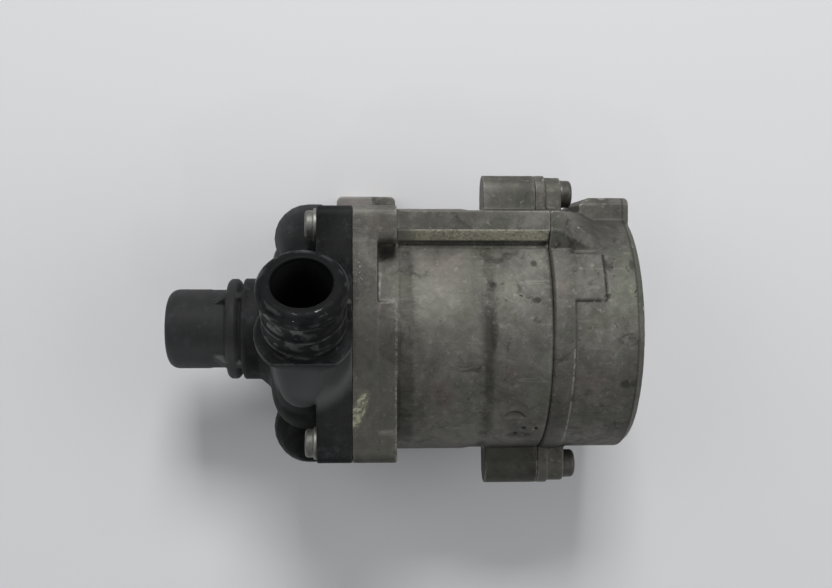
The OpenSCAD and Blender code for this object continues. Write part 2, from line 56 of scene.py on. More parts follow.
def deselectAll():
    if bpy.context.object and bpy.context.object.mode != "OBJECT":
        bpy.ops.object.mode_set(mode="OBJECT")
    bpy.ops.object.select_all(action="DESELECT")


def activate(piece):
    deselectAll()
    piece.select_set(True)
    bpy.context.view_layer.objects.active = piece


# A copy of a CAD node's mesh with its loose triangles merged
def copyNode(name, pieceName):
    piece = bpy.data.objects.new(pieceName, nodes[name].data.copy())
    bpy.context.scene.collection.objects.link(piece)
    piece.data.materials.clear()
    activate(piece)
    bpy.ops.object.mode_set(mode="EDIT")
    bpy.ops.mesh.select_all(action="SELECT")
    bpy.ops.mesh.remove_doubles(threshold=mergeGap)
    bpy.ops.object.mode_set(mode="OBJECT")
    return piece


def applyModifier(piece, kind, **settings):
    modifier = piece.modifiers.new(kind.lower(), kind)
    for key, value in settings.items():
        setattr(modifier, key, value)
    activate(piece)
    bpy.ops.object.modifier_apply(modifier=modifier.name)


# Small rounding of the edges that are sharper than an angle
def softenEdges(piece, width, degrees):
    applyModifier(piece, "BEVEL", width=width, segments=2, limit_method="ANGLE",
                  angle_limit=math.radians(degrees))


# Puts a piece's place, turn and size into its mesh
def applyPlace():
    bpy.ops.object.transform_apply(location=True, rotation=True, scale=True)


def cutWith(piece, tool, operation="DIFFERENCE"):
    applyModifier(piece, "BOOLEAN", operation=operation, object=tool, solver="EXACT")
    bpy.data.objects.remove(tool)


def finishPiece(piece, body, paint, node):
    piece.data.materials.clear()
    piece.data.materials.append(paint)
    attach(piece, body)
    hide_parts(node)


# A turned shape from [x, radius] points, spun round the X axis
def turnShape(name, profile, steps=48):
    mesh = bpy.data.meshes.new(name)
    points = [(x, 0.0, r) for x, r in profile]
    mesh.from_pydata(points, [(i, i + 1) for i in range(len(points) - 1)], [])
    piece = bpy.data.objects.new(name, mesh)
    bpy.context.scene.collection.objects.link(piece)
    activate(piece)
    bpy.ops.object.mode_set(mode="EDIT")
    bpy.ops.mesh.select_all(action="SELECT")
    bpy.ops.mesh.spin(steps=steps, angle=2 * math.pi, center=(0, 0, 0), axis=(1, 0, 0))
    bpy.ops.mesh.select_all(action="SELECT")
    bpy.ops.mesh.remove_doubles(threshold=mergeGap)
    bpy.ops.mesh.normals_make_consistent(inside=False)
    bpy.ops.object.mode_set(mode="OBJECT")
    return piece


# A colour made darker or lighter
def toned(colour, factor):
    return tuple(min(1.0, factor * c) for c in colour)


# One output socket; the operators on it add Math nodes
class Wire:
    def __init__(self, paint, socket):
        self.paint = paint
        self.socket = socket

    def math(self, operation, first, second=0.0):
        return self.paint.add("ShaderNodeMath", {"operation": operation}, {0: first, 1: second})

    def __add__(self, other):
        return self.math("ADD", self, other)

    def __radd__(self, other):
        return self.math("ADD", other, self)

    def __sub__(self, other):
        return self.math("SUBTRACT", self, other)

    def __rsub__(self, other):
        return self.math("SUBTRACT", other, self)

    def __mul__(self, other):
        return self.math("MULTIPLY", self, other)

    def __rmul__(self, other):
        return self.math("MULTIPLY", other, self)

    def __truediv__(self, other):
        return self.math("DIVIDE", self, other)

    def __pow__(self, other):
        return self.math("POWER", self, other)

    def least(self, other):
        return self.math("MINIMUM", self, other)

    # 0 below low, 1 above high, smooth between
    def step(self, low, high):
        return self.paint.add("ShaderNodeMapRange", {"interpolation_type": "SMOOTHSTEP"},
                              {0: self, 1: low, 2: high, 3: 0.0, 4: 1.0})

    # 1 below low, 0 above high, smooth between
    def fall(self, low, high):
        return 1 - self.step(low, high)


# Plain names for the Principled shader's sockets
socketNames = {
    "colour": "Base Color",
    "roughness": "Roughness",
    "metallic": "Metallic",
    "specular": "Specular IOR Level",
    "coat": "Coat Weight",
    "coatRoughness": "Coat Roughness",
    "normal": "Normal",
}


# One material: a Principled shader and the nodes that feed it
class Paint:
    def __init__(self, name, **constants):
        self.material = bpy.data.materials.new(name)
        self.material.use_nodes = True
        self.tree = self.material.node_tree
        self.shader = self.tree.nodes["Principled BSDF"]
        self.set(**constants)
        self.place = self.add("ShaderNodeTexCoord", {}, {}, "Object")
        axes = self.add("ShaderNodeSeparateXYZ", {}, {0: self.place}, None)
        self.x, self.y, self.z = (Wire(self, axes.outputs[i]) for i in range(3))

    def feed(self, socket, value):
        if isinstance(value, Wire):
            self.tree.links.new(value.socket, socket)
        elif socket.type == "RGBA" and len(value) == 3:
            socket.default_value = (*value, 1.0)
        else:
            socket.default_value = value

    def add(self, kind, settings, sockets, output=0):
        node = self.tree.nodes.new(kind)
        for key, value in settings.items():
            setattr(node, key, value)
        for key, value in sockets.items():
            self.feed(node.inputs[key], value)
        return node if output is None else Wire(self, node.outputs[output])

    # Settings of the shader's own sockets, or links to them
    def set(self, **values):
        for key, value in values.items():
            self.feed(self.shader.inputs[socketNames[key]], value)

    def noise(self, scale, detail, rough, stretch=(1, 1, 1), shift=(0, 0, 0), distortion=0.0):
        place = self.add("ShaderNodeMapping", {}, {"Vector": self.place, "Scale": stretch, "Location": shift})
        return self.add("ShaderNodeTexNoise", {}, {"Vector": place, "Scale": scale, "Detail": detail,
                                                  "Roughness": rough, "Distortion": distortion})

    def mix(self, factor, first, second):
        return self.add("ShaderNodeMix", {"data_type": "RGBA"}, {0: factor, 6: first, 7: second}, 2)

    # How sharp the surface is here: 0.5 on flat ground, more on edges, less in corners
    def pointiness(self):
        return self.add("ShaderNodeNewGeometry", {}, {}, "Pointiness")

    # Even waves across one axis, one every pitch metres, from 0 to 1
    def wave(self, pitch, axis="x"):
        along = {"x": self.x, "y": self.y, "z": self.z}[axis]
        return self.math("SINE", along * (2 * math.pi / pitch), 0.0) * 0.5 + 0.5

    def math(self, operation, first, second):
        return self.add("ShaderNodeMath", {"operation": operation}, {0: first, 1: second})

    def bump(self, height, distance, strength):
        return self.add("ShaderNodeBump", {}, {"Strength": strength, "Distance": distance, "Height": height})


# Tones of the cast aluminium, with how metallic and how rough it is
casting = {
    "base": (0.113, 0.110, 0.096),
    "pale": (0.218, 0.212, 0.186),
    "olive": (0.132, 0.150, 0.098),
    "rust": (0.200, 0.152, 0.135),
    # dark tone of dirt, also used as painted shade in corners, recesses and on the lower side
    "dirt": (0.034, 0.033, 0.027),
    "worn": (0.400, 0.385, 0.340),
    "salt": (0.380, 0.390, 0.270),
    "metallic": 0.60,
    "roughness": 0.44,
    "upper": (0.010, 0.030),  # heights between which the marks of the top side fade in
}

# Dark stains on top of each casting: centre and half size on X and Y
stains = {
    "housing": [((0.1252, 0.0175), (0.0018, 0.0050)), ((0.1320, 0.0290), (0.0024, 0.0018)),
                ((0.1419, 0.0262), (0.0016, 0.0016)), ((0.1422, 0.0127), (0.0022, 0.0015)),
                ((0.1425, 0.0054), (0.0022, 0.0015)), ((0.1262, 0.0020), (0.0020, 0.0100)),
                ((0.1380, -0.0400), (0.0060, 0.0020))],
    "cover": [((0.1702, 0.0256), (0.0022, 0.0034)), ((0.1767, -0.0019), (0.0052, 0.0030)),
              ((0.1790, 0.0256), (0.0014, 0.0024)), ((0.1690, 0.0140), (0.0024, 0.0012)),
              ((0.1769, -0.0188), (0.0040, 0.0022))],
}


# Uneven blobs a few millimetres wide, which break up a crust or a line
def mottleOf(paint):
    return paint.noise(260, 4, 0.7, shift=(6, 6, 1), distortion=0.8)


# Mask that is 1 inside an ellipse on X and Y, in metres, and fades out at its rim
def ellipseMask(paint, centre, size, lean=0.0):
    across = (paint.x - centre[0]) + (paint.y - centre[1]) * lean
    along = paint.y - centre[1]
    spread = (across / size[0]) ** 2 + (along / size[1]) ** 2
    return (spread * (0.2 + 1.6 * mottleOf(paint))).fall(0.25, 1.0)


# Mask that is 1 between two values of one coordinate
def band(coordinate, low, high, soft=0.0004):
    return coordinate.step(low - soft, low + soft) * coordinate.fall(high - soft, high + soft)


# Soft dark smudges where each stain lies
def smudge(paint, colour, part, upper):
    blobs = mottleOf(paint)
    for centre, size in stains[part]:
        mask = ellipseMask(paint, centre, size) * upper * blobs.step(0.34, 0.56)
        colour = paint.mix(mask * 0.72, colour, casting["dirt"])
    return colour


# Die-cast aluminium: clouded oxide, dark stains, faint scratches, pits, worn edges, dirt with painted shade
# in corners
def castAluminium(name, seed, marks):
    look = casting
    paint = Paint(name, metallic=look["metallic"])
    cloud = paint.noise(24, 5, 0.66, shift=(seed, 0, 0), distortion=0.8)
    mottle = paint.noise(150, 5, 0.7, shift=(seed, 5, 2), distortion=1.2)
    streak = paint.noise(55, 4, 0.6, stretch=(1, 0.25, 0.25), shift=(0, seed, 0))
    blotch = paint.noise(70, 6, 0.72, shift=(seed, 3, 1), distortion=1.2)
    grit = paint.noise(1400, 4, 0.75)
    skin = paint.noise(420, 5, 0.65, shift=(0, 0, seed))
    scratch = paint.noise(34, 2, 0.5, stretch=(0.9, 14, 9), shift=(seed, 1, 7), distortion=1.4)
    tint = paint.noise(42, 4, 0.6, shift=(2, seed, 6), distortion=0.6)
    pitChance = paint.noise(40, 3, 0.5, shift=(5, seed, 2)).step(0.50, 0.64)
    pits = paint.noise(430, 2, 0.5, shift=(seed, 8, 3), distortion=0.8).step(0.69, 0.75) * pitChance
    edge = paint.pointiness()
    colour = paint.mix(cloud.step(0.34, 0.66), look["base"], look["pale"])
    colour = paint.mix(tint.step(0.52, 0.66) * 0.34, colour, look["rust"])
    colour = paint.mix(tint.fall(0.36, 0.48) * 0.34, colour, look["olive"])
    colour = paint.mix(mottle.step(0.40, 0.62) * 0.38, colour, toned(look["base"], 0.62))
    colour = paint.mix(streak.step(0.50, 0.70) * 0.45, colour, toned(look["base"], 0.55))
    colour = paint.mix(blotch.step(0.55, 0.70) * 0.7, colour, look["dirt"])
    colour = paint.mix(skin.step(0.56, 0.76) * 0.45, colour, look["worn"])
    colour = paint.mix(scratch.step(0.64, 0.72) * 0.14, colour, look["worn"])
    colour = paint.mix(grit.fall(0.30, 0.50) * 0.3, colour, look["dirt"])
    colour = marks(paint, colour)
    worn = edge.step(0.515, 0.56) * mottle.step(0.36, 0.56)
    colour = paint.mix(worn * 0.7, colour, look["worn"])
    # Darker in corners and creases: dirt with painted shade
    colour = paint.mix(edge.fall(0.44, 0.492) * 0.8, colour, look["dirt"])
    colour = paint.mix(pits * 0.8, colour, toned(look["dirt"], 0.35))
    rough = look["roughness"] + 0.22 * blotch + 0.1 * grit - edge.step(0.515, 0.57) * 0.12
    height = skin * 0.6 + grit * 0.35 - pits * 1.6 - blotch * 0.3 + mottle * 0.5
    paint.set(colour=colour, roughness=rough, normal=paint.bump(height, 0.00022, 0.75))
    return paint.material


# Marks, painted light and painted shade of the motor housing: low and high ends on one axis in metres unless
# a note says otherwise
housingWearAndLight = {
    "frontBand": (0.0912, 0.0966),
    "collarBand": (0.1228, 0.1264),
    "bandsEnd": (0.0310, 0.0335),  # the bands fade out here on Y
    "sway": 0.0034,  # how far the bands wander
    "frontX": (0.0916, 0.0922),
    "frontY": (-0.0060, 0.0140),
    # the warm patch on the lit top, a warm tone with a painted highlight
    "warmX": (0.0985, 0.1210),
    "warmY": (-0.0060, 0.0300),
    "warm": (0.255, 0.238, 0.200),
    # the recess, painted darker as shade
    "recessX": (0.0848, 0.0905),
    "recessY": (0.0130, 0.0310),
    "edges": [((0.0837, 0.0845), (0.0090, 0.0300)), ((0.0898, 0.0907), (-0.0420, 0.0120))],  # X, then Y
    # the lower side, painted darker as shade
    "shadyY": (-0.0480, -0.0400),
    "shadyZ": (0.0100, 0.0300),
    "collarEdgeX": (0.1228, 0.1244),
    "collarEdgeY": (0.0040, 0.0310),
    "rim": (0.1466, 0.1500),
    # the wire duct's slanted face, lifted with painted light
    "slopeX": (0.0912, 0.1478),
    "slopeY": (0.0350, 0.0388),
    "slope": (0.44, 0.42, 0.35),
    "stripFrom": (0.0928, 0.1008),
    "strip": (0.56, 0.53, 0.42),
    "stripGrain": (0.76, 0.72, 0.58),
    # the dark line in the groove, painted shade
    "grooveX": (0.0968, 0.1478),
    "grooveY": (0.0327, 0.0346),
    "footY": (0.0400, 0.0420),
    "footZ": (-0.0360, -0.0350),
    "footX": (0.0821, 0.0827),
    "foot": (0.31, 0.285, 0.28),
    "crust": ((0.0768, -0.0275), (0.0033, 0.0094)),  # centre and half size
    "crustLean": -0.30,
    "crustStain": (0.26, 0.255, 0.19),
    "specks": ((0.0760, 0.0220), (0.0030, 0.0080)),  # centre and half size
    "speck": (0.56, 0.54, 0.43),
}


# Dirt bands, painted shade in the recess, the groove and the lower side, a warm tone with a painted
# highlight, rubbed edges, the rough strip on the wire duct lifted with painted light, and the pale crust on
# the flange
def housingMarks(paint, colour):
    wearAndPaintedLight = housingWearAndLight
    dirt = casting["dirt"]
    grain = paint.noise(650, 5, 0.75, shift=(2, 2, 2))
    dusk = paint.noise(75, 5, 0.7, stretch=(0.6, 1, 1), shift=(7, 1, 0), distortion=1.0).step(0.30, 0.56)
    sway = (paint.noise(110, 4, 0.7, shift=(3, 3, 9)) - 0.5) * wearAndPaintedLight["sway"]
    swayed = paint.x + sway
    upper = paint.z.step(*casting["upper"])

    bands = band(swayed, *wearAndPaintedLight["frontBand"], 0.0010) * 0.75 + band(swayed, *wearAndPaintedLight["collarBand"], 0.0012) * 0.9
    bands = bands.least(1.0) * dusk * paint.y.fall(*wearAndPaintedLight["bandsEnd"])
    colour = paint.mix(bands * 0.75, colour, dirt)
    front = paint.x.fall(*wearAndPaintedLight["frontX"]) * paint.y.fall(*wearAndPaintedLight["frontY"]) * upper
    colour = paint.mix(front * 0.55, colour, toned(dirt, 1.6))
    # A warm lighter patch on the lit top of the body: warm tone with a painted highlight
    warm = band(swayed, *wearAndPaintedLight["warmX"], 0.0012) * band(paint.y, *wearAndPaintedLight["warmY"], 0.0060) * upper
    colour = paint.mix(warm * 0.20, colour, wearAndPaintedLight["warm"])
    colour = smudge(paint, colour, "housing", upper)
    # The recess behind the flange made darker: painted shade
    recess = band(paint.x, *wearAndPaintedLight["recessX"]) * band(paint.y, *wearAndPaintedLight["recessY"], 0.0008) * upper
    colour = paint.mix(recess * 0.30, colour, dirt)

    for across, along in wearAndPaintedLight["edges"]:
        line = band(paint.x, *across, 0.0002) * band(paint.y, *along, 0.0010) * upper
        colour = paint.mix(line * grain.step(0.46, 0.60) * 0.42, colour, casting["worn"])
    # The lower side made darker: painted shade
    shady = paint.y.fall(*wearAndPaintedLight["shadyY"]) * paint.z.fall(*wearAndPaintedLight["shadyZ"])
    colour = paint.mix(shady * 0.72, colour, dirt)
    collarEdge = band(swayed, *wearAndPaintedLight["collarEdgeX"], 0.0008) * band(paint.y, *wearAndPaintedLight["collarEdgeY"], 0.0060)
    colour = paint.mix(collarEdge * upper * grain.step(0.54, 0.66) * 0.28, colour, casting["salt"])
    rim = band(paint.x, *wearAndPaintedLight["rim"]) * grain.step(0.46, 0.62)
    colour = paint.mix(rim * 0.16, colour, casting["worn"])

    # The duct's slanted face painted lighter: painted light on a face turned away from the lamp
    slope = band(paint.x, *wearAndPaintedLight["slopeX"]) * band(paint.y, *wearAndPaintedLight["slopeY"], 0.0003) * upper
    colour = paint.mix(slope * 0.55, colour, wearAndPaintedLight["slope"])
    # The rough worn strip on that face: worn grain, also painted lighter as painted light
    strip = slope * paint.x.step(*wearAndPaintedLight["stripFrom"])
    stripGrain = paint.noise(900, 4, 0.8, stretch=(1, 1.6, 1), shift=(1, 8, 3))
    stripWear = paint.noise(120, 3, 0.6, shift=(4, 0, 0)).step(0.30, 0.62)
    colour = paint.mix(strip * (0.45 + 0.5 * stripWear), colour, wearAndPaintedLight["strip"])
    colour = paint.mix(strip * stripGrain.step(0.50, 0.62) * 0.8, colour, wearAndPaintedLight["stripGrain"])
    colour = paint.mix(strip * stripGrain.fall(0.36, 0.46) * 0.6, colour, dirt)
    # A dark line in the groove under the wire duct: painted shade
    groove = band(paint.x, *wearAndPaintedLight["grooveX"], 0.0008) * band(paint.y + sway * 0.2, *wearAndPaintedLight["grooveY"], 0.0003)
    colour = paint.mix(groove * upper * 0.15, colour, toned(dirt, 0.4))

    foot = paint.y.step(*wearAndPaintedLight["footY"]) * paint.z.fall(*wearAndPaintedLight["footZ"]) * paint.x.fall(*wearAndPaintedLight["footX"])
    colour = paint.mix(foot * 0.6, colour, wearAndPaintedLight["foot"])
    patch = ellipseMask(paint, *wearAndPaintedLight["crust"], wearAndPaintedLight["crustLean"]) * upper
    crust = (grain + patch * 0.30 + mottleOf(paint) * 0.30).step(0.89, 1.02)
    colour = paint.mix(patch * 0.22, colour, wearAndPaintedLight["crustStain"])
    colour = paint.mix(crust * patch.step(0.02, 0.35) * 0.8, colour, casting["salt"])
    fine = paint.noise(1300, 3, 0.7, shift=(4, 4, 4)).step(0.58, 0.66)
    return paint.mix(ellipseMask(paint, *wearAndPaintedLight["specks"]) * upper * fine * 0.7, colour, wearAndPaintedLight["speck"])


# Marks and painted shade of the rear cover, in metres on X unless named otherwise
coverWearAndShade = {
    "collarBack": 0.1566,
    "padBack": 0.1682,
    "padY": (0.0122, 0.0295),
    "line": 0.0004,  # half the width of the painted shade in a corner
    "rimEdge": 0.1800,
    "collarWear": (0.1557, 0.1564),
    "collarWearEnd": (-0.0060, -0.0030),  # on Y
}


# Painted shade in the corners behind the collar and the pad, worn metal along the collar's edge
def coverMarks(paint, colour):
    wearAndPaintedLight = coverWearAndShade
    line = wearAndPaintedLight["line"]
    collarBack = wearAndPaintedLight["collarBack"]
    padBack = wearAndPaintedLight["padBack"]
    padLow = wearAndPaintedLight["padY"][0]
    rim = wearAndPaintedLight["rimEdge"]
    upper = paint.z.step(*casting["upper"])
    broken = paint.noise(210, 4, 0.7, shift=(3, 6, 1)).step(0.34, 0.50)
    # Dark lines in the corners behind the collar and along the pad: painted shade
    besidePad = paint.y.fall(padLow - 0.0005, padLow + 0.0005)
    collarLine = band(paint.x, collarBack - line, collarBack + line, 0.0002) * besidePad
    backLine = band(paint.x, padBack - line, padBack + line, 0.0002) * band(paint.y, *wearAndPaintedLight["padY"])
    sideLine = band(paint.y, padLow - line, padLow + line, 0.0002)
    sideLine = sideLine * band(paint.x, collarBack, padBack, 0.0003)
    lines = (collarLine * 0.5 + backLine + sideLine).least(1.0)
    colour = paint.mix(lines * broken * upper * 0.9, colour, casting["dirt"])
    collarWear = band(paint.x, *wearAndPaintedLight["collarWear"], 0.0003) * paint.y.fall(*wearAndPaintedLight["collarWearEnd"])
    worn = collarWear * mottleOf(paint).step(0.42, 0.56) * upper
    colour = paint.mix(worn * 0.6, colour, casting["worn"])
    colour = smudge(paint, colour, "cover", upper)
    rimLine = band(paint.x, rim - line, rim + line, 0.0003)
    return paint.mix(rimLine * 0.6, colour, casting["dirt"])


# Black volute plastic: tones, where the outlet stands, and how far up it each mark lies
shell = {
    "base": (0.0100, 0.0103, 0.0110),
    "grey": (0.029, 0.029, 0.029),
    # pale grey of the stem and the spigot, also painted light under the spigot and, lightened, the painted
    # highlights
    "rubbed": (0.100, 0.100, 0.101),
    "haze": (0.080, 0.083, 0.088),
    "dust": (0.10, 0.10, 0.095),
    # painted shade in corners
    "corner": (0.006, 0.006, 0.006),
    # darker wet plastic, also painted shade on the lip and in the mouth
    "soaked": (0.0050, 0.0052, 0.0058),
    "specular": 0.10,
    "coatRoughness": 0.04,
    "outletAxis": (0.6293, 0.7771),  # direction on Y and Z
    "outletFoot": (-0.02293, 0.01857),  # Y and Z
    "outletX": 0.0570,
    "outletRadius": 0.0192,
    "boreRadius": 0.0128,
    "stem": (0.0120, 0.0370),
    "stemRadius": (0.0190, 0.0240),
    "wetFrom": (0.0385, 0.0440),
    # the bead's upper side gets a painted highlight
    "beadSide": (0.0600, 0.0658),
    "beadUpper": (-0.0040, 0.0120),
    "lipFrom": (0.0650, 0.0666),
    # the crests get painted highlights
    "crests": (0.0384, 0.0447, 0.0521, 0.0602),
    "crestHalf": 0.0005,
    "spigotEnd": (0.0290, 0.0330),
    # where the painted light under the spigot ends, on Y
    "rubbedEnd": (-0.0130, -0.0020),
}


# Dusty haze, worn edges, wet with coolant round the outlet mouth; painted highlights on the crests and the
# bead, painted light under the spigot, painted shade in corners, on the lip and in the mouth
def volutePlastic():
    look = shell
    paint = Paint("wornBlackVolute", specular=look["specular"], coatRoughness=look["coatRoughness"])
    haze = paint.noise(48, 5, 0.62, distortion=0.5)
    wipe = paint.noise(130, 5, 0.7, shift=(2, 0, 4))
    dust = paint.noise(1700, 3, 0.7)
    grain = paint.noise(900, 3, 0.6)
    edge = paint.pointiness()
    paintedHighlightGrey = toned(look["rubbed"], 1.5)
    soft = 0.0004

    footY, footZ = look["outletFoot"]
    axisY, axisZ = look["outletAxis"]
    along = (paint.y - footY) * axisY + (paint.z - footZ) * axisZ
    across = (paint.y - footY) * axisZ - (paint.z - footZ) * axisY
    fromAxis = (across ** 2 + (paint.x - look["outletX"]) ** 2) ** 0.5
    near = fromAxis.fall(look["outletRadius"] - soft, look["outletRadius"] + soft)
    outside = near * fromAxis.step(look["boreRadius"] - soft, look["boreRadius"] + soft)
    wet = along.step(*look["wetFrom"]) * near
    dry = 1 - wet
    lip = along.step(*look["lipFrom"]) * near
    film = along.step(*look["wetFrom"]) * outside * paint.noise(230, 3, 0.5, shift=(9, 2, 1)).step(0.46, 0.60)
    stem = band(along, *look["stem"], 0.003) * fromAxis.fall(*look["stemRadius"])
    spigot = paint.x.fall(*look["spigotEnd"])
    # The spigot's underside made a paler grey: painted light from below
    rubbed = spigot * paint.y.fall(*look["rubbedEnd"])

    colour = paint.mix(haze.step(0.40, 0.70) * 0.6, look["base"], look["grey"])
    colour = paint.mix((stem * 0.90 + spigot * 0.22 + rubbed * 0.60).least(1.0), colour, look["rubbed"])
    colour = paint.mix(wipe.step(0.52, 0.74) * dry * 0.34, colour, look["haze"])
    colour = paint.mix(dust.step(0.60, 0.72) * dry * 0.35, colour, look["dust"])
    colour = paint.mix(edge.step(0.52, 0.58) * (1 - wet * 0.5) * 0.5, colour, toned(look["haze"], 1.5))
    # Darker in corners: painted shade
    colour = paint.mix(edge.fall(0.43, 0.49) * 0.5, colour, look["corner"])
    # Darker where wet, and much darker on the lip and in the mouth: wet plastic with painted shade
    colour = paint.mix(wet * 0.15 + lip * 0.70, colour, look["soaked"])
    # Lighter lines along the crests of the ridges: painted highlights
    for crest in look["crests"]:
        rim = band(along, crest - look["crestHalf"], crest + look["crestHalf"]) * outside
        colour = paint.mix(rim * wipe.step(0.38, 0.56) * 0.5, colour, paintedHighlightGrey)
    # A lighter band on the upper side of the bead: painted highlight
    bead = band(along, *look["beadSide"], 0.0008) * outside * across.step(*look["beadUpper"])
    colour = paint.mix(bead * 0.9, colour, paintedHighlightGrey)
    rough = 0.40 + 0.18 * haze + 0.1 * wipe
    height = grain * 0.4 + wipe * 0.3 + haze * 0.8
    paint.set(colour=colour, roughness=rough, coat=film * 0.55, normal=paint.bump(height, 0.00016, 0.5))
    return paint.material


# Plain moulded plastic for the pieces inside
def mouldedPlastic(name, shade, rough=0.42):
    paint = Paint(name)
    flow = paint.noise(70, 4, 0.6, stretch=(0.4, 1, 1))
    grain = paint.noise(1200, 3, 0.6)
    colour = paint.mix(flow.step(0.38, 0.68) * 0.5, shade, tuple(min(1.0, 1.5 * c + 0.004) for c in shade))
    paint.set(colour=colour, roughness=rough + 0.12 * grain, normal=paint.bump(grain, 0.00006, 0.5))
    return paint.material


def sealRubber():
    rubber, pale = (0.012, 0.012, 0.012), (0.035, 0.035, 0.034)
    paint = Paint("sealRubber", specular=0.3)
    bloom = paint.noise(160, 4, 0.65)
    grain = paint.noise(1500, 2, 0.5)
    colour = paint.mix(bloom.step(0.48, 0.72) * 0.6, rubber, pale)
    paint.set(colour=colour, roughness=0.55 + 0.15 * bloom, normal=paint.bump(grain, 0.00005, 0.4))
    return paint.material


# Turned or ground steel with fine rings round the shaft line
def turnedSteel(name, shade, rough=0.28, tarnish=0.25):
    paint = Paint(name, metallic=1.0)
    rings = paint.noise(2600, 3, 0.6, stretch=(1, 0.02, 0.02))
    cloud = paint.noise(75, 4, 0.6)
    colour = paint.mix(cloud.step(0.45, 0.72) * tarnish, shade, toned(shade, 0.45))
    paint.set(colour=colour, roughness=rough + 0.18 * rings, normal=paint.bump(rings, 0.00003, 0.5))
    return paint.material


# Zinc or oxide on the screws: dulled, with dirt and painted shade in the recess
def screwSteel(name, shade, dirt, metallic=0.8):
    paint = Paint(name, metallic=metallic)
    cloud = paint.noise(260, 5, 0.7)
    grit = paint.noise(1900, 3, 0.7)
    edge = paint.pointiness()
    colour = paint.mix(cloud.step(0.42, 0.68) * 0.7, shade, dirt)
    colour = paint.mix(edge.step(0.51, 0.56) * 0.6, colour, toned(shade, 1.5))
    # Darker in the recess and under the head: dirt with painted shade
    colour = paint.mix(edge.fall(0.42, 0.49) * 0.7, colour, toned(dirt, 0.3))
    height = grit * 0.5 + cloud * 0.8
    paint.set(colour=colour, roughness=0.40 + 0.22 * cloud, normal=paint.bump(height, 0.00012, 0.6))
    return paint.material


# Stack of thin sheets: fine lines across the shaft line
def laminatedSteel():
    gap, sheet, rust = (0.10, 0.10, 0.11), (0.36, 0.36, 0.38), (0.20, 0.15, 0.11)
    paint = Paint("laminatedSteel", metallic=0.9)
    sheets = paint.wave(0.00065)
    cloud = paint.noise(90, 4, 0.6)
    colour = paint.mix(sheets.step(0.15, 0.45), gap, sheet)
    colour = paint.mix(cloud.step(0.50, 0.75) * 0.35, colour, rust)
    paint.set(colour=colour, roughness=0.42 + 0.15 * cloud, normal=paint.bump(sheets, 0.00006, 0.8))
    return paint.material


def enamelledCopper():
    gap, wire, varnish = (0.16, 0.045, 0.018), (0.56, 0.22, 0.085), (0.30, 0.12, 0.05)
    paint = Paint("enamelledCopper", metallic=0.85)
    turns = paint.wave(0.0011, "y")
    cloud = paint.noise(120, 4, 0.6)
    colour = paint.mix(turns.step(0.1, 0.6), gap, wire)
    colour = paint.mix(cloud.step(0.5, 0.75) * 0.3, colour, varnish)
    paint.set(colour=colour, roughness=0.30 + 0.12 * cloud, coat=0.3 + 0.1 * cloud,
              normal=paint.bump(turns, 0.00025, 0.8))
    return paint.material


def magnetNickel():
    nickel, dull = (0.20, 0.20, 0.205), (0.13, 0.13, 0.135)
    paint = Paint("magnetNickel", metallic=0.7)
    cloud = paint.noise(140, 4, 0.6)
    chips = paint.noise(700, 4, 0.7)
    colour = paint.mix(cloud.step(0.4, 0.7) * 0.5, nickel, dull)
    paint.set(colour=colour, roughness=0.45 + 0.15 * chips, normal=paint.bump(chips, 0.00005, 0.4))
    return paint.material


def lappedCarbon():
    carbon, glint = (0.032, 0.032, 0.035), (0.075, 0.075, 0.08)
    paint = Paint("lappedCarbon", metallic=0.15)
    rings = paint.noise(1900, 3, 0.6, stretch=(1, 0.03, 0.03))
    speck = paint.noise(1500, 3, 0.8, shift=(1, 0, 0))
    colour = paint.mix(speck.step(0.55, 0.75), carbon, glint)
    paint.set(colour=colour, roughness=0.28 + 0.2 * rings, normal=paint.bump(rings, 0.00002, 0.5))
    return paint.material


# Green board: masked tracks show as a faint raised grid
def boardLaminate():
    laminate, track = (0.008, 0.060, 0.022), (0.020, 0.120, 0.045)
    paint = Paint("boardLaminate", specular=0.5)
    tracksY = paint.wave(0.0024, "y")
    tracksZ = paint.wave(0.0031, "z")
    area = paint.noise(70, 2, 0.4).step(0.45, 0.50)
    tracks = tracksY.step(0.55, 0.7) * area + tracksZ.step(0.55, 0.7) * (1 - area)
    weave = paint.noise(1400, 2, 0.5)
    colour = paint.mix(tracks * 0.7, laminate, track)
    paint.set(colour=colour, roughness=0.30 + 0.1 * weave, normal=paint.bump(tracks, 0.00005, 0.6))
    return paint.material


def capacitorSleeve():
    sleeve, tin, scuff = (0.020, 0.024, 0.045), (0.45, 0.45, 0.46), (0.10, 0.10, 0.12)
    rimX = (0.1715, 0.1722)
    paint = Paint("capacitorSleeve")
    top = paint.x.step(*rimX)
    cloud = paint.noise(200, 3, 0.6)
    colour = paint.mix(top, sleeve, tin)
    colour = paint.mix(cloud.step(0.5, 0.7) * 0.2, colour, scuff)
    paint.set(colour=colour, roughness=0.34 + 0.1 * cloud, metallic=top * 0.8,
              normal=paint.bump(cloud, 0.00004, 0.4))
    return paint.material


# Copper turns wound round the ferrite ring of the filter choke
def chokeWinding():
    look = {"y": 0.009, "z": -0.017, "turns": 18,
            "ferrite": (0.020, 0.020, 0.020), "copper": (0.50, 0.20, 0.08)}
    paint = Paint("chokeWinding", metallic=0.6)
    angle = paint.math("ARCTAN2", paint.z - look["z"], paint.y - look["y"])
    turns = paint.math("SINE", angle * look["turns"], 0.0)
    cloud = paint.noise(200, 3, 0.6)
    colour = paint.mix(turns.step(-0.5, 0.2), look["ferrite"], look["copper"])
    paint.set(colour=colour, roughness=0.34 + 0.12 * cloud, normal=paint.bump(turns, 0.0004, 0.8))
    return paint.material


